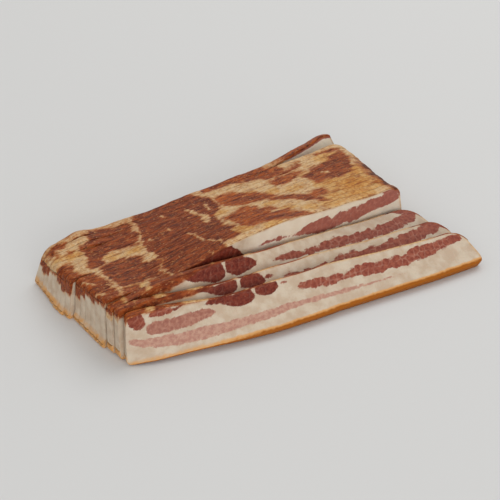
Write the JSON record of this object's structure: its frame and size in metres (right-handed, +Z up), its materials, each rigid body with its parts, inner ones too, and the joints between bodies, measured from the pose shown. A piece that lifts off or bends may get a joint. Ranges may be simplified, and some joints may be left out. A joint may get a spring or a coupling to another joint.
{
  "type": "slab of thick sliced smoked streaky bacon",
  "caption": "Long low slab of smoked streaky bacon cut into thick slices that stand together on their rind, the front ones tipped back in a fan and the rear one splayed.",
  "frame": {"origin": "centre of the footprint, on the surface the slab stands on", "axes": "+X along the slices towards the end where the front ones fan out, +Z up, so -Y is the front with the open cut face"},
  "size_m": [0.2484, 0.165, 0.0377],
  "materials": {
    "smoked_side": "satin",
    "cut_face": "satin"
  },
  "bodies": {
    "root": {"slice_01": "smoked_side", "slice_02": "smoked_side", "slice_03": "smoked_side", "slice_04": "smoked_side", "slice_05": "smoked_side", "slice_06": "smoked_side", "slice_07": "smoked_side", "slice_08": "smoked_side", "slice_09": "smoked_side", "slice_10": "smoked_side", "slice_11": "smoked_side", "slice_12": "smoked_side", "slice_13": "smoked_side", "slice_14": "cut_face", "slice_15": "cut_face", "slice_16": "cut_face", "slice_17": "cut_face"}
  },
  "joints": []
}
